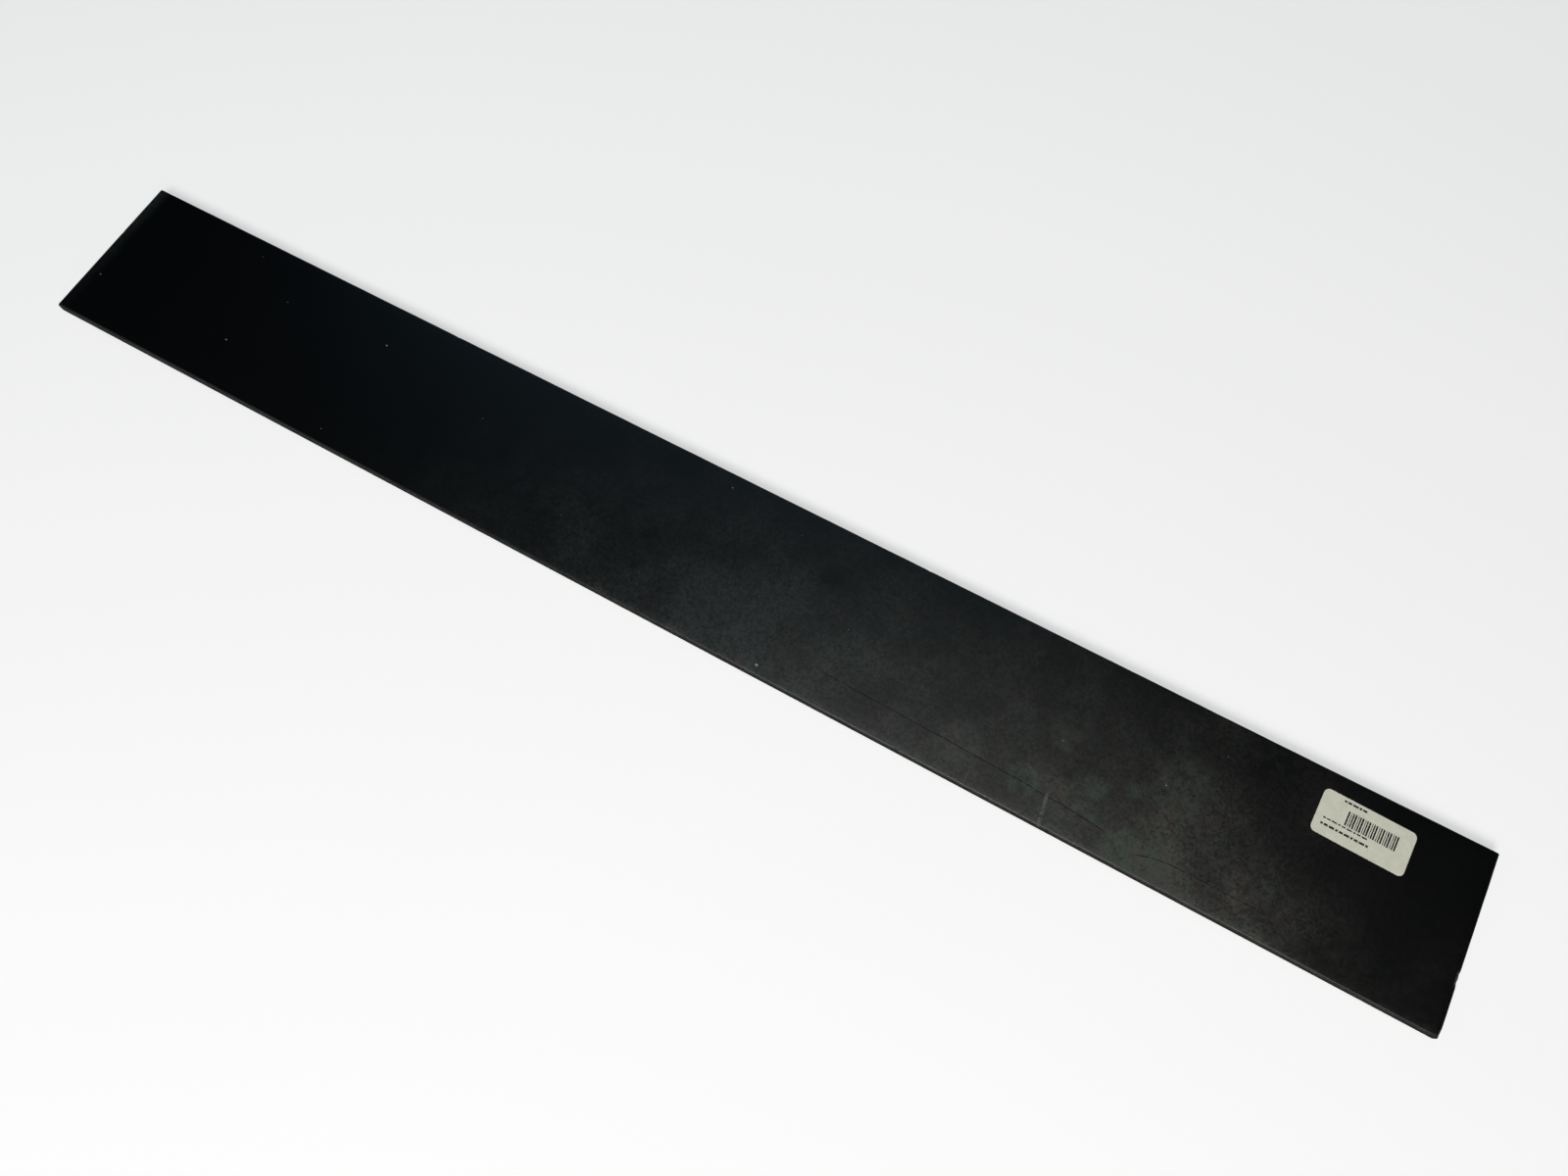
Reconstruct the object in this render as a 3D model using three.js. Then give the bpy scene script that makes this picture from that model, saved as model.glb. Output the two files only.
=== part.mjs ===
/**
 * Tape-mounted door kick plate, 35 in long, 4 in wide and 1/4 in thick, as supplied: the plate,
 * the stock label on its face, and the foam tape on its back with the release liners still on.
 *
 * Units are millimetres. +Z points out of the wear face, +X runs along the plate and +Y across it,
 * towards its upper edge. The origin is the middle of the back, in the plane of the liners.
 */
import * as THREE from 'three';

const INCH = 25.4;

// Plate
const LENGTH = 35 * INCH;
const WIDTH = 4 * INCH;
const THICKNESS = INCH / 4;
const CORNER_RADIUS = 2;
const FACE_EASE = 1.6; // radius of the rounded arris around the wear face
const BACK_EASE = 0.4; // chamfer around the back face

// Foam tape and its release liners
const TAPE_WIDTH = 0.75 * INCH;
const TAPE_THICKNESS = 1.125;
const TAPE_INSET = INCH / 4; // from the plate's edge to the tape
const LINER_THICKNESS = 0.125;
const PEEL_TAB = 3; // how far a liner runs past each end of its tape
const LINER_GAP = 0.4; // between the liners of neighbouring strips

// Stock label
const LABEL_LENGTH = 50;
const LABEL_WIDTH = 25;
const LABEL_THICKNESS = 0.1;
const LABEL_RADIUS = 3;
const LABEL_FROM_END = 65.1; // from the label's centre to the plate's right-hand end
const LABEL_FROM_TOP = 23.3; // from the label's centre to the plate's upper edge
const LABEL_TILT = THREE.MathUtils.degToRad(-1.4); // it was stuck on by hand

// Steps in each quarter turn
const CORNER_STEPS = 6;
const EASE_STEPS = 5;

// Heights of the layers, from the liners up
const TAPE_Z = LINER_THICKNESS;
const PLATE_Z = TAPE_Z + TAPE_THICKNESS;
const FACE_Z = PLATE_Z + THICKNESS;

const MATERIALS = {
  plate: { color: 0x16181a, roughness: 0.45, metalness: 0 },
  label: { color: 0xd2cdbb, roughness: 0.8, metalness: 0 },
  tape: { color: 0x3a3d40, roughness: 0.9, metalness: 0 },
  liner: { color: 0xb3202a, roughness: 0.35, metalness: 0 },
};

/** A rectangle with round corners, anticlockwise from above, as a list of [x, y]. */
function roundedOutline(length, width, radius) {
  const points = [];
  for (let corner = 0; corner < 4; corner += 1) {
    const sideX = corner === 0 || corner === 3 ? 1 : -1;
    const sideY = corner < 2 ? 1 : -1;
    for (let step = 0; step <= CORNER_STEPS; step += 1) {
      const angle = (Math.PI / 2) * (corner + step / CORNER_STEPS);
      points.push([
        sideX * (length / 2 - radius) + radius * Math.cos(angle),
        sideY * (width / 2 - radius) + radius * Math.sin(angle),
      ]);
    }
  }
  return points;
}

/** The closed solid through a stack of outlines, lowest first, with a flat cap at each end. */
function loft(layers) {
  const count = layers[0].outline.length;
  const last = (layers.length - 1) * count;
  const positions = layers.flatMap(({ outline, z }) => outline.flatMap(([x, y]) => [x, y, z]));
  const triangles = [];
  for (let start = 0; start < last; start += count) {
    for (let i = 0; i < count; i += 1) {
      const here = start + i;
      const next = start + ((i + 1) % count);
      triangles.push(here, next, next + count, here, next + count, here + count);
    }
  }
  for (let i = 1; i + 1 < count; i += 1) {
    triangles.push(0, i + 1, i);
    triangles.push(last, last + i, last + i + 1);
  }
  const geometry = new THREE.BufferGeometry();
  geometry.setAttribute('position', new THREE.Float32BufferAttribute(positions, 3));
  geometry.setIndex(triangles);
  geometry.computeVertexNormals();
  return geometry;
}

/** The plate: chamfered around its back, with a rounded arris around its wear face. */
function plateGeometry() {
  const layer = (inset, z) => ({
    outline: roundedOutline(LENGTH - 2 * inset, WIDTH - 2 * inset, CORNER_RADIUS - inset),
    z,
  });
  const layers = [layer(BACK_EASE, 0), layer(0, BACK_EASE)];
  for (let step = 0; step <= EASE_STEPS; step += 1) {
    const angle = ((Math.PI / 2) * step) / EASE_STEPS;
    const inset = FACE_EASE * (1 - Math.cos(angle));
    layers.push(layer(inset, THICKNESS - FACE_EASE * (1 - Math.sin(angle))));
  }
  return loft(layers);
}

/** The label: a die-cut sheet with round corners. */
function labelGeometry() {
  const outline = roundedOutline(LABEL_LENGTH, LABEL_WIDTH, LABEL_RADIUS);
  return loft([{ outline, z: 0 }, { outline, z: LABEL_THICKNESS }]);
}

/** Where the strips of tape lie: around the plate's rim, and one across its middle. */
function tapeStrips() {
  const rowY = WIDTH / 2 - TAPE_INSET - TAPE_WIDTH / 2;
  const endX = LENGTH / 2 - TAPE_INSET - TAPE_WIDTH / 2;
  const long = { lengthX: LENGTH - 2 * TAPE_INSET, lengthY: TAPE_WIDTH, tabX: PEEL_TAB, tabY: 0 };
  const crossLength = 2 * rowY - TAPE_WIDTH - 2 * (PEEL_TAB + LINER_GAP);
  const cross = { lengthX: TAPE_WIDTH, lengthY: crossLength, tabX: 0, tabY: PEEL_TAB };
  return [
    { name: 'upper', x: 0, y: rowY, ...long },
    { name: 'lower', x: 0, y: -rowY, ...long },
    { name: 'left_end', x: -endX, y: 0, ...cross },
    { name: 'middle', x: 0, y: 0, ...cross },
    { name: 'right_end', x: endX, y: 0, ...cross },
  ];
}

/** A box that stands on z = 0. */
function slab(lengthX, lengthY, height) {
  return new THREE.BoxGeometry(lengthX, lengthY, height).translate(0, 0, height / 2);
}

function addMesh(group, name, geometry, material, x, y, z) {
  const mesh = new THREE.Mesh(geometry, new THREE.MeshStandardMaterial(material));
  mesh.name = name;
  mesh.position.set(x, y, z);
  group.add(mesh);
  return mesh;
}

/** One strip of tape on the plate's back, and the release liner that covers it. */
function addTapeStrip(group, strip) {
  const { name, x, y, lengthX, lengthY, tabX, tabY } = strip;
  const tape = slab(lengthX, lengthY, TAPE_THICKNESS);
  const liner = slab(lengthX + 2 * tabX, lengthY + 2 * tabY, LINER_THICKNESS);
  addMesh(group, `${name}_foam_tape`, tape, MATERIALS.tape, x, y, TAPE_Z);
  addMesh(group, `${name}_release_liner`, liner, MATERIALS.liner, x, y, 0);
}

const kickPlate = new THREE.Group();
const labelX = LENGTH / 2 - LABEL_FROM_END;
const labelY = WIDTH / 2 - LABEL_FROM_TOP;
addMesh(kickPlate, 'face_plate', plateGeometry(), MATERIALS.plate, 0, 0, PLATE_Z);
const label = addMesh(
  kickPlate,
  'stock_label',
  labelGeometry(),
  MATERIALS.label,
  labelX,
  labelY,
  FACE_Z,
);
label.rotation.z = LABEL_TILT;
tapeStrips().forEach((strip) => addTapeStrip(kickPlate, strip));

export default kickPlate;
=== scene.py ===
"""Kick plate: the visual model with its materials, the stage, the lights and the camera.

Lengths are millimetres of the row frame, +X along the plate, +Y across it and +Z out of its
face. They become metres where a mesh or the camera is made. Only the lights are given in metres.
"""

import math

import bpy
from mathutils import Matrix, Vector, noise


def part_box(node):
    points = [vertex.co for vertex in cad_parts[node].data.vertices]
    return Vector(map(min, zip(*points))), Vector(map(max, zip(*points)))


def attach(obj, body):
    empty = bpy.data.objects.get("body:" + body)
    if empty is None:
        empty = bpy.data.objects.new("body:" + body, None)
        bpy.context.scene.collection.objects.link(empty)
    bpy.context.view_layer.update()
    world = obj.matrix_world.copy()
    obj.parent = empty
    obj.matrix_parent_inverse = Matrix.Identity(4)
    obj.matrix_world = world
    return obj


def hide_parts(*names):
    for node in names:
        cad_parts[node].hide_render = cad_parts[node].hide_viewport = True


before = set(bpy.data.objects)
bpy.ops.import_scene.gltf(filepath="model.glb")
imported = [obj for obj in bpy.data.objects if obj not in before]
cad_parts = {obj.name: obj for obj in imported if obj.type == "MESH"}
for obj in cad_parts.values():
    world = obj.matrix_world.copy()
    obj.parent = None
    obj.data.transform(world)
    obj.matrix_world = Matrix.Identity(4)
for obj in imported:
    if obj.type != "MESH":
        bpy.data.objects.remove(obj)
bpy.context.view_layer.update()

MM = 0.001
BACKDROP = (0.86, 0.87, 0.88)  # colour behind the object, which the far floor fades into


def box_of(node):
    """Lowest and highest corner of a CAD node, in millimetres."""
    low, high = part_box(node)
    return Vector(low) / MM, Vector(high) / MM


plate_low, plate_high = box_of("face_plate")
PLATE_SIZE = plate_high - plate_low
BACK_Z = plate_low.z
FACE_Z = plate_high.z
HALF_X = PLATE_SIZE.x / 2
HALF_Y = PLATE_SIZE.y / 2


# Camera and stage ---------------------------------------------------------------------------


CAMERA_PLACE = (164.5, -185.2, FACE_Z + 592.4)
CAMERA_TURN = (20.26, 0.91, 28.92)  # degrees about X, Y and Z
LENS = 25.69
SENSOR_WIDTH = 36


def make_camera():
    camera = bpy.data.objects.new("camera", bpy.data.cameras.new("camera"))
    camera.location = Vector(CAMERA_PLACE) * MM
    camera.rotation_euler = [math.radians(angle) for angle in CAMERA_TURN]
    camera.data.sensor_width = SENSOR_WIDTH
    camera.data.lens = LENS
    camera.data.clip_start = 0.01
    bpy.context.collection.objects.link(camera)
    bpy.context.scene.camera = camera


def soft_box(name, place, aim, size, radiance, colour):
    """A rectangular light that the camera doesn't see. place, aim and size are in metres.

    radiance is how bright each part of it looks, so a larger light of the same radiance gives
    more light.
    """
    light = bpy.data.lights.new(name, "AREA")
    light.shape = "RECTANGLE"
    light.size, light.size_y = size
    light.energy = radiance * math.pi * size[0] * size[1]
    light.color = colour
    panel = bpy.data.objects.new(name, light)
    panel.location = place
    direction = Vector(aim) - Vector(place)
    panel.rotation_euler = direction.to_track_quat("-Z", "Y").to_euler()
    panel.visible_camera = False
    bpy.context.collection.objects.link(panel)


def make_lights():
    """A key light in front, a fill on each side, one overhead and a cool one behind."""
    aim = (0.1, 0.0, 0.0)
    soft_box("key", (0.35, -1.5, 1.5), aim, (0.8, 0.8), 15.5, (1.0, 1.0, 0.98))
    soft_box("fill_left", (-1.5, -1.0, 1.2), aim, (1.0, 0.8), 1.0, (0.9, 0.96, 1.0))
    soft_box("fill_right", (1.7, -1.4, 1.0), aim, (1.0, 0.8), 2.0, (1.0, 0.98, 0.94))
    soft_box("ceiling", (0.22, -0.07, 1.6), (0.22, -0.07, 0.0), (0.85, 0.6), 1.8, (1.0, 1.0, 0.96))
    soft_box("window", (-0.5, 0.95, 1.4), (-0.4, 0.2, 0.0), (1.8, 0.7), 0.31, (0.45, 0.75, 1.0))


def make_world():
    """Pale behind the object, and dim and bluish as a light."""
    world = bpy.data.worlds.new("studio")
    world.use_nodes = True
    tree = world.node_tree
    shown = tree.nodes["Background"]
    shown.inputs["Color"].default_value = (*BACKDROP, 1)
    lighting = tree.nodes.new("ShaderNodeBackground")
    lighting.inputs["Color"].default_value = (0.0026, 0.0045, 0.0058, 1)
    path = tree.nodes.new("ShaderNodeLightPath")
    mix = tree.nodes.new("ShaderNodeMixShader")
    tree.links.new(path.outputs["Is Camera Ray"], mix.inputs[0])
    tree.links.new(lighting.outputs[0], mix.inputs[1])
    tree.links.new(shown.outputs[0], mix.inputs[2])
    tree.links.new(mix.outputs[0], tree.nodes["World Output"].inputs["Surface"])
    bpy.context.scene.world = world


# Materials ----------------------------------------------------------------------------------


class Finish:
    """A procedural material, built one node at a time in millimetres of the row frame."""

    def __init__(self, name):
        self.material = bpy.data.materials.new(name)
        self.material.use_nodes = True
        self.tree = self.material.node_tree
        self.surface = self.tree.nodes["Principled BSDF"]
        place = self.add("ShaderNodeTexCoord").outputs["Object"]
        self.place = self.stretched(place, (1 / MM, 1 / MM, 1 / MM))
        parts = self.add("ShaderNodeSeparateXYZ")
        self.feed(parts.inputs[0], self.place)
        self.x, self.y, self.z = parts.outputs
        self.plan = self.stretched(self.place, (1, 1, 0))

    def add(self, kind, **settings):
        node = self.tree.nodes.new(kind)
        for name, value in settings.items():
            setattr(node, name, value)
        return node

    def feed(self, socket, value):
        """Links a socket to another's output, or sets it to a plain value or a colour."""
        if isinstance(value, bpy.types.NodeSocket):
            self.tree.links.new(value, socket)
        elif socket.type == "RGBA":
            socket.default_value = (*value, 1)
        else:
            socket.default_value = value

    def stretched(self, vector, factors):
        node = self.add("ShaderNodeVectorMath", operation="MULTIPLY")
        self.feed(node.inputs[0], vector)
        self.feed(node.inputs[1], factors)
        return node.outputs[0]

    def math(self, operation, *values):
        node = self.add("ShaderNodeMath", operation=operation)
        for socket, value in zip(node.inputs, values):
            self.feed(socket, value)
        return node.outputs[0]

    def product(self, *values):
        result = values[0]
        for value in values[1:]:
            result = self.math("MULTIPLY", result, value)
        return result

    def total(self, *values):
        result = values[0]
        for value in values[1:]:
            result = self.math("ADD", result, value)
        return result

    def greatest(self, *values):
        result = values[0]
        for value in values[1:]:
            result = self.math("MAXIMUM", result, value)
        return result

    def ramp(self, value, start, end, low=0.0, high=1.0):
        """Goes smoothly from low to high as value goes from start to end."""
        node = self.add("ShaderNodeMapRange", interpolation_type="SMOOTHSTEP")
        for socket, given in zip(node.inputs, (value, start, end, low, high)):
            self.feed(socket, given)
        return node.outputs[0]

    def noise(self, size, detail=2.0, stretch=(1, 1, 1), roughness=0.5, shift=0.0, swirl=0.0):
        """Clouds with features of about size, drawn out by stretch. Values are around 0.5.

        shift picks another part of the same clouds, and swirl stirs them.
        """
        node = self.add("ShaderNodeTexNoise")
        factors = [1 / (size * factor) for factor in stretch]
        moved = self.add("ShaderNodeVectorMath", operation="ADD")
        self.feed(moved.inputs[0], self.stretched(self.place, factors))
        self.feed(moved.inputs[1], (shift, shift, shift))
        self.feed(node.inputs["Vector"], moved.outputs[0])
        self.feed(node.inputs["Scale"], 1.0)
        self.feed(node.inputs["Detail"], detail)
        self.feed(node.inputs["Roughness"], roughness)
        self.feed(node.inputs["Distortion"], swirl)
        return node.outputs[0]

    def spot(self, x, y, radius, soft):
        """1 inside a round spot on the face, and 0 outside its soft rim."""
        node = self.add("ShaderNodeVectorMath", operation="DISTANCE")
        self.feed(node.inputs[0], self.plan)
        self.feed(node.inputs[1], (x, y, 0))
        return self.ramp(node.outputs["Value"], radius - soft, radius + soft, 1, 0)

    def past(self, value, start):
        """How far value is past start, and 0 before it."""
        return self.math("MAXIMUM", self.math("SUBTRACT", value, start), 0)

    def between(self, value, start, end, soft):
        """1 between start and end, and 0 outside them, with soft ends."""
        rising = self.ramp(value, start - soft, start + soft)
        return self.product(rising, self.ramp(value, end - soft, end + soft, 1, 0))

    def line(self, offset, width):
        """1 on a line and 0 at width from it, where offset is the distance from the line."""
        return self.ramp(self.math("ABSOLUTE", offset), width / 2, width, 1, 0)

    def blend(self, factor, first, second):
        """A colour that goes from first to second as factor goes from 0 to 1."""
        node = self.add("ShaderNodeMix", data_type="RGBA")
        self.feed(node.inputs[0], factor)
        self.feed(node.inputs[6], first)
        self.feed(node.inputs[7], second)
        return node.outputs[2]

    def set(self, **inputs):
        """Sets the surface's inputs by name, such as base_color."""
        for name, value in inputs.items():
            title = " ".join(word.capitalize() for word in name.split("_")).replace("Ior", "IOR")
            self.feed(self.surface.inputs[title], value)

    def bump(self, height):
        """Bumps the surface by a height in millimetres."""
        node = self.add("ShaderNodeBump")
        self.feed(node.inputs["Strength"], 1.0)
        self.feed(node.inputs["Distance"], MM)
        self.feed(node.inputs["Height"], height)
        self.feed(self.surface.inputs["Normal"], node.outputs[0])


# Places of marks on the plate's face: x, y and radius
DUST_PATCHES = (
    (175, -30, 12),
    (214, -33, 9),
    (226, 3, 12),
    (249, -18, 6),
    (249, -34, 7),
    (268, -8, 6),
    (273, -40, 12),
    (289, 5, 16),
    (293, -36, 9),
    (334, -31, 9),
    (344, -25, 6),
    (392, -30, 13),
)
SMUDGES = ((-32, -7, 5.5), (-31, -26.5, 3.5), (72, 19, 6), (234, -15, 6), (327, 40, 16))

SCRATCH_WIDTH = 0.38


def dust_and_sheen(finish):
    """How thick the dust and painted sheen lie on the plate's face, and how thick its dust patches
    are. The film's spread copies where the overhead light's reflection falls.
    """
    x, y = finish.x, finish.y
    # Partly dust and partly painted reflection: brightest towards the lower edge near the labelled
    # end, where the overhead light's sheen falls
    along = finish.product(finish.ramp(x, -240, 200, 0.02, 1), finish.ramp(x, 300, 405, 1, 0.12))
    thicker = finish.product(finish.ramp(x, 190, 280), finish.ramp(y, 0, -30, 0, 0.5))
    across = finish.total(finish.ramp(y, 52, -46, 0.3, 1), finish.ramp(y, -25, -50, 0, 0.3), thicker)
    clouds = finish.ramp(finish.noise(34, detail=5, roughness=0.6), 0.36, 0.68, 0.45, 1)
    lint = finish.ramp(finish.noise(1.7, 6, roughness=0.85, swirl=0.15), 0.38, 0.62, 0.3, 1.65)
    film = finish.product(along, across, clouds, lint)

    patches = finish.greatest(*(finish.spot(px, py, r, r * 0.3) for px, py, r in DUST_PATCHES))
    patches = finish.product(patches, finish.ramp(finish.noise(7, 6, roughness=0.75), 0.36, 0.64))
    patches = finish.product(patches, finish.ramp(y, 12, -20, 0.4, 1))
    flakes = finish.ramp(finish.noise(1.3, 4, roughness=0.85, shift=6), 0.57, 0.66)
    flakes = finish.product(flakes, finish.ramp(y, 0, -30), finish.between(x, 225, 300, 30))
    film = finish.total(film, finish.product(along, patches, 0.8), finish.product(flakes, 0.9))

    # The film is thinner in the smudges
    smudges = finish.greatest(*(finish.spot(px, py, r, r * 0.8) for px, py, r in SMUDGES))
    smudges = finish.product(smudges, finish.ramp(finish.noise(5, 4, shift=3), 0.3, 0.6, 0.3, 1))
    film = finish.product(film, finish.ramp(smudges, 0, 1, 1, 0.35))

    # Painted highlights along the left-hand end and beside the lower edge, mottled like the dust
    # Painted highlight: a pale band along the left-hand end, brighter towards its upper corner
    left_end = finish.product(finish.ramp(x, -434, -442), finish.ramp(y, -60, 55, 0.08, 0.42), lint)
    # Painted highlight: a pale band beside the lower edge that widens its arris's highlight, fading
    # towards the right-hand end
    rim = finish.product(finish.ramp(x, -150, 250, 0, 0.5), finish.ramp(x, 300, 400, 1, 0.2))
    rim = finish.product(rim, finish.ramp(y, 4 - HALF_Y, 2 - HALF_Y))
    return finish.total(film, left_end, finish.product(rim, lint)), patches


def scratch_lines(finish):
    """Two broken hairline scratches: the first slopes and then bends down, the second arches."""
    x, y = finish.x, finish.y
    wander = finish.product(finish.math("SUBTRACT", finish.noise(22, 2), 0.5), 1.2)
    bend = finish.past(x, 195)
    first = finish.total(y, 31.3, finish.product(finish.past(x, 100), 0.018), wander)
    first = finish.total(first, finish.product(bend, bend, 0.00055))
    first = finish.product(finish.line(first, SCRATCH_WIDTH), finish.between(x, 94, 262, 4))
    rise = finish.past(finish.product(x, -1), -304)
    fall = finish.past(x, 346)
    second = finish.total(y, 35.9, finish.product(rise, rise, 0.0075), wander)
    second = finish.total(second, finish.product(fall, fall, 0.045))
    second = finish.product(finish.line(second, SCRATCH_WIDTH), finish.between(x, 281, 359, 2))
    broken = finish.ramp(finish.noise(3, 3, shift=4), 0.35, 0.6, 0.35, 0.9)
    return finish.product(finish.greatest(first, second), broken)


def pale_wear(finish):
    """A scuff and a faint one across the lower edge, and a chipped place in the right-hand end."""
    x, y = finish.x, finish.y
    leaning = finish.math("MULTIPLY_ADD", y, 0.13, -223.9)
    scuff = finish.product(
        finish.line(finish.total(x, leaning), 1.1),
        finish.ramp(y, -30, -35),
        finish.ramp(finish.noise(1.6, 3), 0.35, 0.6),
    )
    faint = finish.product(
        finish.line(finish.math("SUBTRACT", x, 187), 0.8),
        finish.ramp(y, -38, -42),
        finish.ramp(finish.noise(2.5, 3), 0.45, 0.65),
    )
    chip = finish.product(
        finish.between(y, -23, -16, 1.2),
        finish.ramp(x, HALF_X - 2.4, HALF_X - 1.2),
        finish.ramp(finish.noise(1.1, 3), 0.36, 0.5),
    )
    return finish.greatest(scuff, finish.product(faint, 0.4), chip)


def plate_finish():
    """Satin black sheet, with a grey film of dust and painted sheen and light scratches towards its
    labelled end.
    """
    finish = Finish("black_plastic")
    film, patches = dust_and_sheen(finish)
    scratches = scratch_lines(finish)
    wear = pale_wear(finish)

    # Height tells the flat of the face from the filed arris around it
    face = finish.ramp(finish.z, FACE_Z - 0.7, FACE_Z - 0.15)
    arris = finish.math("SUBTRACT", 1, face)
    film = finish.product(film, face)
    scratches = finish.product(scratches, face)
    file_marks = finish.noise(0.7, 3, (1, 1, 12), 0.6)
    grain = finish.noise(0.9, 2, roughness=0.6)

    # The dust is cooler to the left and warmer to the right, with greenish patches
    hue = finish.ramp(finish.noise(11, 4, roughness=0.6, shift=9), 0.4, 0.6)
    cool = finish.blend(hue, (0.04, 0.054, 0.052), (0.048, 0.052, 0.052))
    warm = finish.blend(hue, (0.05, 0.057, 0.047), (0.06, 0.054, 0.046))
    dust = finish.blend(finish.ramp(finish.x, 20, 280), cool, warm)
    greenish = finish.product(patches, finish.between(finish.x, 195, 285, 12))
    dust = finish.blend(greenish, dust, (0.044, 0.064, 0.048))

    black = finish.blend(finish.noise(3, 3), (0.0004, 0.0006, 0.0007), (0.0008, 0.001, 0.0012))
    # The grey film laid over the black is partly dust and partly painted reflection of the overhead
    # light
    colour = finish.blend(finish.product(film, 0.55), black, dust)
    colour = finish.blend(scratches, colour, (0.0006, 0.0007, 0.0008))
    # The arris is lightened where it is rubbed: partly filing wear and partly a painted highlight
    # along the edge
    rubbed_and_highlight = finish.ramp(finish.noise(12, 4), 0.35, 0.6)
    rubbed_and_highlight = finish.product(finish.ramp(file_marks, 0.35, 0.7), rubbed_and_highlight)
    filed = finish.blend(rubbed_and_highlight, (0.002, 0.0022, 0.0024), (0.04, 0.041, 0.042))
    colour = finish.blend(arris, colour, filed)
    colour = finish.blend(finish.product(wear, 0.7), colour, (0.12, 0.125, 0.12))

    roughness = finish.total(
        0.28,
        finish.product(film, 0.17),
        finish.product(grain, 0.06),
        finish.product(wear, 0.2),
        finish.product(scratches, 0.6),
        finish.product(arris, finish.ramp(file_marks, 0.3, 0.7, 0.06, 0.2)),
    )
    finish.set(base_color=colour, roughness=roughness)
    height = finish.total(
        finish.product(grain, 0.006),
        finish.product(file_marks, arris, 0.05),
        finish.product(scratches, -0.03),
    )
    finish.bump(height)
    return finish.material


def sawn_finish():
    """The sheet's sawn sides, with the saw's upright marks, and its plain back."""
    finish = Finish("black_plastic_sawn")
    side = finish.ramp(finish.z, BACK_Z + 0.02, BACK_Z + 0.2)
    marks = finish.noise(0.6, 3, (1, 1, 14), 0.6)
    chatter = finish.noise(4, 2, (1, 1, 8))
    grain = finish.noise(0.9, 2, roughness=0.6)
    cut = finish.blend(finish.ramp(marks, 0.35, 0.7), (0.002, 0.0022, 0.0024), (0.01, 0.0105, 0.011))
    back = finish.blend(finish.noise(30, 4), (0.0012, 0.0014, 0.0016), (0.004, 0.0042, 0.0043))
    colour = finish.blend(side, back, cut)
    rough_cut = finish.ramp(marks, 0.3, 0.7, 0.62, 0.85)
    rough_back = finish.ramp(grain, 0.3, 0.7, 0.45, 0.55)
    roughness = finish.ramp(side, 0, 1, rough_back, rough_cut)
    finish.set(base_color=colour, roughness=roughness, specular_ior_level=0.15)
    height = finish.total(
        finish.product(finish.total(marks, finish.product(chatter, 1.5)), side, 0.05),
        finish.product(grain, 0.006),
    )
    finish.bump(height)
    return finish.material


def paper_finish():
    """Off-white thermal paper: faintly cloudy, with short fibres in it."""
    finish = Finish("label_paper")
    fibre = finish.noise(0.22, 4, (2, 1, 1), 0.6, swirl=0.8)
    cloud = finish.ramp(finish.noise(5, 4), 0.35, 0.65)
    pale = finish.blend(cloud, (0.76, 0.75, 0.62), (0.82, 0.81, 0.68))
    colour = finish.blend(finish.ramp(fibre, 0.5, 0.8, 0, 0.6), pale, (0.67, 0.66, 0.55))
    finish.set(base_color=colour, roughness=finish.ramp(fibre, 0.3, 0.7, 0.6, 0.75))
    finish.bump(finish.product(fibre, 0.008))
    return finish.material


def ink_finish():
    finish = Finish("ink")
    cover = finish.noise(0.3, 3)
    colour = finish.blend(finish.ramp(cover, 0.45, 0.75), (0.012, 0.012, 0.014), (0.05, 0.05, 0.05))
    finish.set(base_color=colour, roughness=finish.ramp(cover, 0.3, 0.7, 0.45, 0.6))
    return finish.material


def foam_finish():
    """Closed-cell foam, with its cells cut open on the strip's sides and painted shade in their
    hollows.
    """
    finish = Finish("foam_tape")
    cells = finish.add("ShaderNodeTexVoronoi")
    finish.feed(cells.inputs["Vector"], finish.stretched(finish.place, (4, 4, 4)))
    finish.feed(cells.inputs["Scale"], 1.0)
    depth = finish.ramp(cells.outputs["Distance"], 0.1, 0.6)
    patchy = finish.noise(7, 3)
    light = finish.blend(patchy, (0.055, 0.058, 0.062), (0.075, 0.08, 0.085))
    # Painted shade: the cells are darker in their hollows
    colour = finish.blend(depth, (0.022, 0.024, 0.026), light)
    finish.set(base_color=colour, roughness=finish.ramp(depth, 0, 1, 0.95, 0.8))
    finish.bump(finish.product(depth, 0.06))
    return finish.material


def liner_finish(name, stretch):
    """Glossy red film, a little rippled. stretch draws out the faint lines along its length."""
    finish = Finish(name)
    drawn = finish.noise(1.2, 3, stretch)
    cloud = finish.noise(14, 3)
    colour = finish.blend(cloud, (0.4, 0.012, 0.02), (0.5, 0.022, 0.03))
    colour = finish.blend(finish.ramp(drawn, 0.5, 0.75), colour, (0.38, 0.011, 0.018))
    finish.set(base_color=colour, roughness=finish.ramp(cloud, 0.3, 0.7, 0.22, 0.34))
    finish.bump(finish.total(finish.product(cloud, 0.12), finish.product(drawn, 0.006)))
    return finish.material


def speck_finish():
    finish = Finish("dust_speck")
    tone = finish.noise(0.4, 3)
    colour = finish.blend(tone, (0.16, 0.18, 0.17), (0.34, 0.36, 0.32))
    finish.set(base_color=colour, roughness=finish.ramp(tone, 0.3, 0.7, 0.8, 1.0))
    return finish.material


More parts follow.
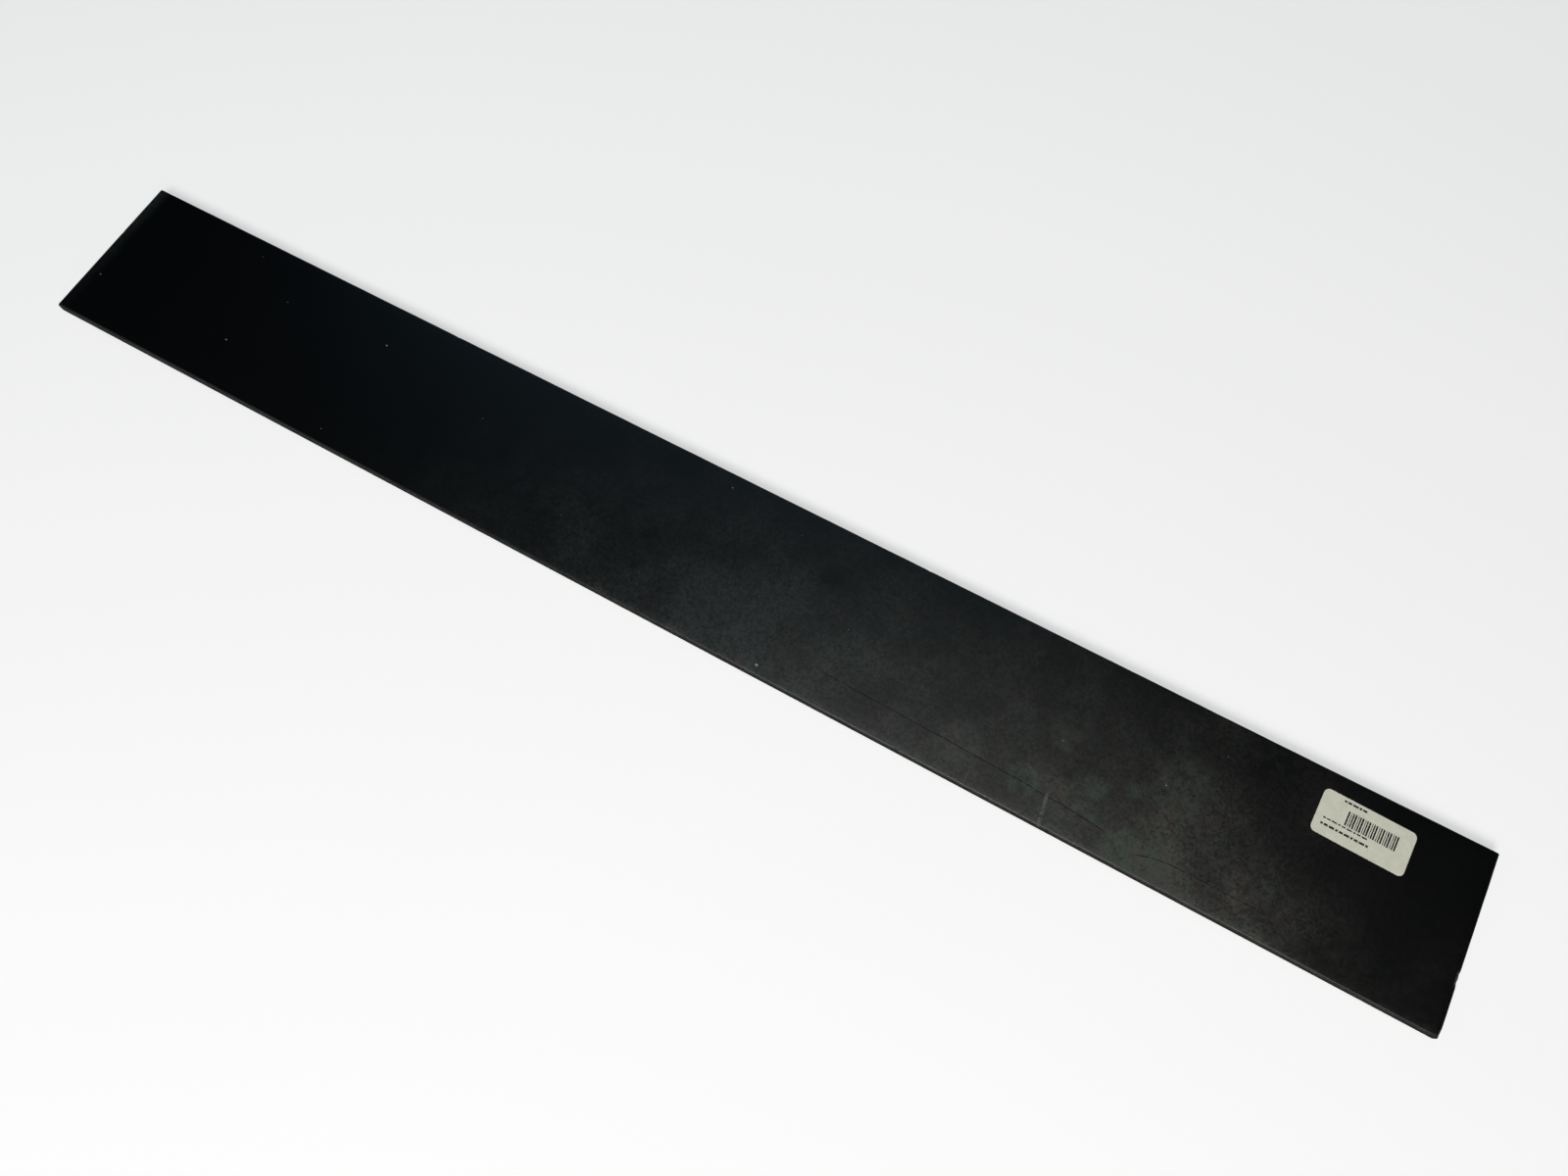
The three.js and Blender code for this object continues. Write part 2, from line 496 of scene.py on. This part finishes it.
def floor_finish():
    """A pale floor that glows for the camera, and that fades into the backdrop."""
    finish = Finish("floor")
    tone = finish.noise(400, 3)
    colour = finish.blend(tone, (0.48, 0.48, 0.48), (0.5, 0.5, 0.5))
    finish.set(base_color=colour, roughness=0.9, emission_color=(1, 1, 1))
    path = finish.add("ShaderNodeLightPath")
    finish.set(emission_strength=finish.product(path.outputs["Is Camera Ray"], 0.58))
    distance = finish.add("ShaderNodeVectorMath", operation="LENGTH")
    finish.feed(distance.inputs[0], finish.plan)
    far = finish.add("ShaderNodeEmission")
    finish.feed(far.inputs["Color"], BACKDROP)
    mix = finish.add("ShaderNodeMixShader")
    finish.feed(mix.inputs[0], finish.ramp(distance.outputs["Value"], 900, 3200))
    finish.feed(mix.inputs[1], finish.surface.outputs[0])
    finish.feed(mix.inputs[2], far.outputs[0])
    finish.feed(finish.tree.nodes["Material Output"].inputs["Surface"], mix.outputs[0])
    return finish.material


# Geometry -----------------------------------------------------------------------------------


def make_piece(name, points, faces, material, sharp=40):
    """A mesh object from points in millimetres, smooth where it turns by less than sharp degrees."""
    mesh = bpy.data.meshes.new(name)
    mesh.from_pydata([Vector(point) * MM for point in points], [], faces)
    mesh.validate()
    mesh.shade_smooth()
    mesh.set_sharp_from_angle(angle=math.radians(sharp))
    mesh.materials.append(material)
    piece = bpy.data.objects.new(name, mesh)
    bpy.context.collection.objects.link(piece)
    return piece


def evenly(low, high, step):
    """Places from low to high, evenly spaced and about step apart."""
    count = max(1, round((high - low) / step))
    return [low + (high - low) * i / count for i in range(count + 1)]


def with_detail(places, marks, reach, step):
    """The places along a side, with more of them around each mark."""
    low, high = places[0], places[-1]
    spread = evenly(-reach, reach, step)
    extra = [mark + away for mark in marks for away in spread if low < mark + away < high]
    kept = [low]
    for place in sorted(places[1:-1] + extra):
        if place - kept[-1] > step / 3 and high - place > step / 3:
            kept.append(place)
    return [*kept, high]


def rounded_ring(inner_x, inner_y, radius, along_x, along_y, steps, power):
    """A rectangle with round corners, anticlockwise from above, as a list of (point, anchor).

    The corner arcs are centred on (+-inner_x, +-inner_y). They are circular if power is 2, and
    fuller if it is more. An anchor is the (column, row) of the cap's grid that the point joins.
    """
    last_x, last_y = len(along_x) - 1, len(along_y) - 1
    ring = []

    def arc(column, row, start):
        centre_x = inner_x if column else -inner_x
        centre_y = inner_y if row else -inner_y
        for i in range(1, steps):
            angle = math.radians(start + 90 * i / steps)
            across = math.copysign(abs(math.cos(angle)) ** (2 / power), math.cos(angle))
            up = math.copysign(abs(math.sin(angle)) ** (2 / power), math.sin(angle))
            place = (centre_x + radius * across, centre_y + radius * up)
            ring.append((place, (column, row)))

    ring.extend(((x, -inner_y - radius), (i, 0)) for i, x in enumerate(along_x))
    arc(last_x, 0, -90)
    ring.extend(((inner_x + radius, y), (last_x, j)) for j, y in enumerate(along_y))
    arc(last_x, last_y, 0)
    ring.extend(((x, inner_y + radius), (i, last_y)) for i, x in reversed([*enumerate(along_x)]))
    arc(0, last_y, 90)
    ring.extend(((-inner_x - radius, y), (0, j)) for j, y in reversed([*enumerate(along_y)]))
    arc(0, 0, 180)
    return ring


def cap_faces(outer, anchors, start, columns, rows):
    """Upward faces of a flat cap: from a ring in to the grid of points at start, and the grid."""

    def cell(column, row):
        return start + column * rows + row

    faces = []
    for i in range(len(outer)):
        j = (i + 1) % len(outer)
        here, there = cell(*anchors[i]), cell(*anchors[j])
        inside = (here,) if here == there else (there, here)
        faces.append((outer[i], outer[j], *inside))
    for column in range(columns - 1):
        for row in range(rows - 1):
            near = (cell(column, row), cell(column + 1, row))
            far = (cell(column + 1, row + 1), cell(column, row + 1))
            faces.append(near + far)
    return faces


def slab(half_x, half_y, radius, profile, along_x, along_y, steps, power=2):
    """Points and outward faces of a closed slab around the origin.

    profile lists (inset, height) from the bottom up. Each end is capped with a grid. along_x and
    along_y are the places of the points along the straight sides, between the corner arcs.
    """
    inner_x, inner_y = half_x - radius, half_y - radius
    points = []
    faces = []
    rings = []
    for inset, height in profile:
        ring = rounded_ring(inner_x, inner_y, radius - inset, along_x, along_y, steps, power)
        rings.append(range(len(points), len(points) + len(ring)))
        points.extend((*place, height) for place, _ in ring)
    anchors = [anchor for _, anchor in ring]
    count = len(ring)
    for lower, upper in zip(rings, rings[1:]):
        for i in range(count):
            j = (i + 1) % count
            faces.append((lower[i], lower[j], upper[j], upper[i]))
    for outer, (_, height), turn in ((rings[0], profile[0], -1), (rings[-1], profile[-1], 1)):
        cap = cap_faces(outer, anchors, len(points), len(along_x), len(along_y))
        points.extend((x, y, height) for x in along_x for y in along_y)
        faces.extend(face[::turn] for face in cap)
    return points, faces


CORNER_RADIUS = 2.0
CORNER_FULLNESS = 4.5  # 2 is a quarter of a circle, and more is closer to a square corner
FACE_EASE = 1.6
BACK_CHAMFER = 0.4
INNER_X = HALF_X - CORNER_RADIUS
INNER_Y = HALF_Y - CORNER_RADIUS

# Nicks in the plate's rim: x, y, size and depth
LONG_EDGE_NICKS = (
    (-392, -HALF_Y, 0.9, 0.3),
    (-318, -HALF_Y, 1.2, 0.4),
    (-244, -HALF_Y, 1.0, 0.35),
    (-152, -HALF_Y, 0.8, 0.25),
    (-61, -HALF_Y, 1.1, 0.3),
    (38, -HALF_Y, 0.8, 0.3),
    (147, -HALF_Y, 1.3, 0.4),
    (236, -HALF_Y, 1.0, 0.35),
    (331, -HALF_Y, 0.9, 0.3),
    (-207, HALF_Y, 0.9, 0.25),
    (118, HALF_Y, 1.0, 0.25),
)
END_NICKS = (
    (HALF_X, -17, 1.3, 0.35),
    (HALF_X, -21, 1.6, 0.45),
    (-HALF_X, 12, 0.9, 0.3),
)
CORNER_NICK = (HALF_X - 0.3, 0.3 - HALF_Y, 2.2, 1.0)
NICKS = (*LONG_EDGE_NICKS, *END_NICKS, CORNER_NICK)


def worked(point):
    """Moves a point of the plain plate to where the saw, the file and use have left it."""
    waviness, roll_off, roll_reach = 0.03, 0.14, 7
    saw_depth, file_depth = 0.03, 0.09
    x, y, z = point
    inward = Vector((max(-INNER_X, min(INNER_X, x)) - x, max(-INNER_Y, min(INNER_Y, y)) - y, 0))
    reach = inward.length
    up = (z - BACK_Z) / (FACE_Z - BACK_Z)
    z += waviness * up * noise.noise(Vector((x / 70, y / 40, 0)))
    from_rim = min(HALF_X - abs(x), HALF_Y - abs(y))
    if up > 0.99:  # the face and the top of its arris
        z -= roll_off * max(0, 1 - from_rim / roll_reach) ** 2
    if reach < 0.01:
        return x, y, z
    inward /= reach
    arris = max(0, 1 - abs(z - FACE_Z + FACE_EASE / 2) / FACE_EASE)
    sawn = saw_depth * (1 + noise.noise(Vector((x / 2.5, y / 2.5, z / 6))))
    filed = file_depth * arris * (1 + noise.noise(Vector((x / 11, y / 11, 3))))
    move = sawn + filed
    for nick_x, nick_y, size, depth in NICKS:
        away = ((x - nick_x) ** 2 + (y - nick_y) ** 2) / size**2
        if away < 9:
            move += depth * arris * math.exp(-away)
            z -= 0.5 * depth * arris * math.exp(-away)
    return x + inward.x * move, y + inward.y * move, z


def make_plate(face_material, sawn_material):
    """The sheet: filed by hand around its face, chamfered around its back, nicked along its rim."""
    grid_step, nick_reach, nick_step, ease_steps = 3.5, 2.4, 0.4, 10
    along_x = evenly(-INNER_X, INNER_X, grid_step)
    along_x = with_detail(along_x, [nick[0] for nick in LONG_EDGE_NICKS], nick_reach, nick_step)
    along_y = evenly(-INNER_Y, INNER_Y, grid_step)
    along_y = with_detail(along_y, [nick[1] for nick in END_NICKS], nick_reach, nick_step)
    profile = [(BACK_CHAMFER, BACK_Z), (0.1, BACK_Z + 0.3)]
    profile += [(0, height) for height in evenly(BACK_Z + 0.5, FACE_Z - FACE_EASE, 0.8)]
    for step in range(1, ease_steps + 1):
        angle = math.radians(90 * step / ease_steps)
        rise = FACE_EASE * (1 - math.sin(angle))
        profile.append((FACE_EASE * (1 - math.cos(angle)), FACE_Z - rise))
    points, faces = slab(
        HALF_X, HALF_Y, CORNER_RADIUS, profile, along_x, along_y, 8, CORNER_FULLNESS
    )
    plate = make_piece("plate", [worked(point) for point in points], faces, face_material, 50)
    plate.data.materials.append(sawn_material)
    for polygon in plate.data.polygons:
        polygon.material_index = int(polygon.center.z / MM < FACE_Z - FACE_EASE)
    return plate


def tilted(points, centre, angle):
    """Points turned about +Z and moved to a centre."""
    c, s = math.cos(angle), math.sin(angle)
    return [(centre.x + c * x - s * y, centre.y + s * x + c * y, z) for x, y, z in points]


LABEL_LENGTH, LABEL_WIDTH, LABEL_RADIUS = 50, 25, 3
LABEL_TILT = math.radians(-1.4)


def label_ripple(x, y):
    """How far the label's paper stands off a plain flat sheet at a place on it."""
    return 0.012 * (1 + noise.noise(Vector((x / 9, y / 9, 5))))


def make_label(material, centre, low, high):
    """The label's sheet, flat beneath and rippled on top, with very slightly rounded edges."""
    edge_inset, edge_height = 0.02, 0.03
    half_x, half_y = LABEL_LENGTH / 2, LABEL_WIDTH / 2
    along_x = evenly(LABEL_RADIUS - half_x, half_x - LABEL_RADIUS, 1.5)
    along_y = evenly(LABEL_RADIUS - half_y, half_y - LABEL_RADIUS, 1.5)
    profile = [(edge_inset, low), (0, low + edge_height)]
    profile += [(0, high - edge_height), (edge_inset, high)]
    points, faces = slab(half_x, half_y, LABEL_RADIUS, profile, along_x, along_y, 10)
    points = [(x, y, z + label_ripple(x, y) * (z > low + 0.01)) for x, y, z in points]
    return make_piece("label", tilted(points, centre, LABEL_TILT), faces, material)


def print_strokes():
    """Generic print, as rectangles (x0, x1, y0, y1) about the label's centre.

    It is a plain repeating row of bars, which encodes nothing, and a row of plain dashes in
    place of each line of text.
    """
    strokes = []
    widths = (0.9, 0.4, 0.7)
    gaps = (0.7, 0.55, 0.5)
    bars_start, bars_end, bars_foot, bars_top = -10.1, 16.5, -1.8, 6.4
    x = bars_start
    while x < bars_end:
        kind = len(strokes) % 3
        strokes.append((x, x + widths[kind], bars_foot, bars_top))
        x += widths[kind] + gaps[kind]
    # Each row of dashes: start, end, foot and height
    rows = (
        (-14.0, -1.3, 9.8, 1.1),
        (-20.8, 3.3, -3.4, 0.8),
        (-21.1, 5.2, -7.0, 1.2),
    )
    shortest, growth, dash_gap = 1.3, 0.8, 0.6
    for start, end, foot, height in rows:
        x = start
        dash = 0
        while x < end - 0.8:
            width = shortest + growth * (dash % 3)
            strokes.append((x, min(x + width, end), foot, foot + height))
            x += width + dash_gap
            dash += 1
    return strokes


def make_print(material, centre, top):
    """The strokes as thin bars, let a little into the paper so that they follow its ripple."""
    sunk, raised, longest = 0.01, 0.02, 1.5
    points = []
    faces = []
    for x0, x1, y0, y1 in print_strokes():
        start = len(points)
        count = max(1, math.ceil((y1 - y0) / longest))
        for i in range(count + 1):
            y = y0 + (y1 - y0) * i / count
            lift = top + label_ripple((x0 + x1) / 2, y)
            points += [(x0, y, lift - sunk), (x1, y, lift - sunk)]
            points += [(x1, y, lift + raised), (x0, y, lift + raised)]
        faces.append((start, start + 1, start + 2, start + 3))
        for near in range(start, start + 4 * count, 4):
            for i in range(4):
                j = (i + 1) % 4
                faces.append((near + i, near + 4 + i, near + 4 + j, near + j))
        end = start + 4 * count
        faces.append((end + 3, end + 2, end + 1, end))
    return make_piece("label_print", tilted(points, centre, LABEL_TILT), faces, material, 20)


# Crumbs of dust on the plate's face: x, y and radius
SPECKS = (
    (-435, -20, 0.4),
    (-333, -20, 0.4),
    (-242, 24, 0.45),
    (-351, 40, 0.3),
    (-316, 20, 0.28),
    (-243, -42, 0.28),
    (-161, 10, 0.24),
    (-85, -21, 0.24),
    (-6, 42, 0.35),
    (44, 35, 0.24),
    (94, -3, 0.25),
    (59, -45, 0.8),
    (194, 30, 0.22),
    (224, -3, 0.3),
    (281, 1, 0.36),
    (304, 31, 0.22),
)


def make_specks(material):
    """Small flattened lumps, let a little into the face so that none of them floats."""
    rings, sides = 5, 10
    flatness, lengthening = 0.4, 1.25
    foot = FACE_Z - 0.05
    points = []
    faces = []
    for centre_x, centre_y, size in SPECKS:
        start = len(points)
        for ring in range(rings):
            tilt = math.radians(90 * ring / rings)
            height = foot + size * flatness * math.sin(tilt)
            for side in range(sides):
                turn = math.radians(360 * side / sides)
                lump = Vector((math.cos(turn), math.sin(turn), ring * 0.4))
                uneven = noise.noise(lump + Vector((centre_x, centre_y, 0)) / 7)
                reach = size * math.cos(tilt) * (1 + 0.5 * uneven)
                x = centre_x + reach * lump.x * lengthening
                points.append((x, centre_y + reach * lump.y, height))
        points.append((centre_x, centre_y, foot + size * flatness))
        for ring in range(rings - 1):
            for side in range(sides):
                here = start + ring * sides
                j = (side + 1) % sides
                faces.append((here + side, here + j, here + sides + j, here + sides + side))
        top = start + (rings - 1) * sides
        faces.extend((top + i, top + (i + 1) % sides, top + sides) for i in range(sides))
        faces.append(tuple(start + i for i in reversed(range(sides))))
    return make_piece("dust_specks", points, faces, material, 80)


def make_strip(node, radius, profile, material, shape):
    """A flat strip in a CAD node's box.

    profile lists (inset, part of the height) from the bottom up, and shape moves each point.
    """
    low, high = box_of(node)
    centre, size = (low + high) / 2, high - low
    half_x, half_y = size.x / 2, size.y / 2
    grid_step = 2.5
    along_x = evenly(radius - half_x, half_x - radius, grid_step)
    along_y = evenly(radius - half_y, half_y - radius, grid_step)
    heights = [(inset, low.z + part * size.z) for inset, part in profile]
    points, faces = slab(half_x, half_y, radius, heights, along_x, along_y, 4)
    placed = [shape(x, y, z, half_x, half_y) for x, y, z in points]
    placed = [(centre.x + x, centre.y + y, z) for x, y, z in placed]
    return make_piece(f"{node}_detail", placed, faces, material)


PEEL_TAB = 3  # how far a liner runs past each end of its tape
PEEL_CURL = 0.055  # a tab's lift is this times the square of the distance along it

# Corner radii of the strips, and their sides: inset and part of the height, from the bottom up
FOAM_RADIUS = 0.5
LINER_RADIUS = 0.8
FOAM_SIDES = ((0.12, 0), (0.02, 0.12), (0.1, 0.35), (0.16, 0.5), (0.1, 0.65), (0.02, 0.88), (0.12, 1))
LINER_SIDES = ((0, 0), (0, 1))


def foam_shape(x, y, z, half_x, half_y):
    """Ragged, slightly squeezed sides."""
    ragged = 1 - 0.006 * (1 + noise.noise(Vector((x / 3, y / 3, z * 2))))
    return x * (ragged if half_x < half_y else 1), y * (ragged if half_y < half_x else 1), z


def liner_shape(x, y, z, half_x, half_y):
    """Lifts the peel tabs at both ends of the liner."""
    long_way = max(half_x, half_y)
    place = abs(x) if half_x > half_y else abs(y)
    past = max(0, place - (long_way - PEEL_TAB))
    return x, y, z + PEEL_CURL * past**2


def make_floor(material):
    reach = 6000
    corners = [(-reach, -reach, 0), (reach, -reach, 0), (reach, reach, 0), (-reach, reach, 0)]
    return make_piece("floor", corners, [(0, 1, 2, 3)], material)


# The scene ----------------------------------------------------------------------------------


make_camera()
make_world()
make_lights()

floor = make_floor(floor_finish())

plate = make_plate(plate_finish(), sawn_finish())
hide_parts("face_plate")
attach(plate, "root")

label_low, label_high = box_of("stock_label")
label_centre = (label_low + label_high) / 2
label = make_label(paper_finish(), label_centre, label_low.z, label_high.z)
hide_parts("stock_label")
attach(label, "root")

label_print = make_print(ink_finish(), label_centre, label_high.z)
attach(label_print, "root")

specks = make_specks(speck_finish())
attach(specks, "root")

foam = foam_finish()
long_film = liner_finish("liner_film", (30, 1, 1))
cross_film = liner_finish("liner_film_cross", (1, 30, 1))
for place in ("upper", "lower", "left_end", "middle", "right_end"):
    tape_node = f"{place}_foam_tape"
    tape = make_strip(tape_node, FOAM_RADIUS, FOAM_SIDES, foam, foam_shape)
    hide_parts(tape_node)
    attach(tape, "root")
    liner_node = f"{place}_release_liner"
    film = long_film if place in ("upper", "lower") else cross_film
    liner = make_strip(liner_node, LINER_RADIUS, LINER_SIDES, film, liner_shape)
    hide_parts(liner_node)
    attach(liner, "root")

bpy.context.scene.view_settings.view_transform = "Standard"
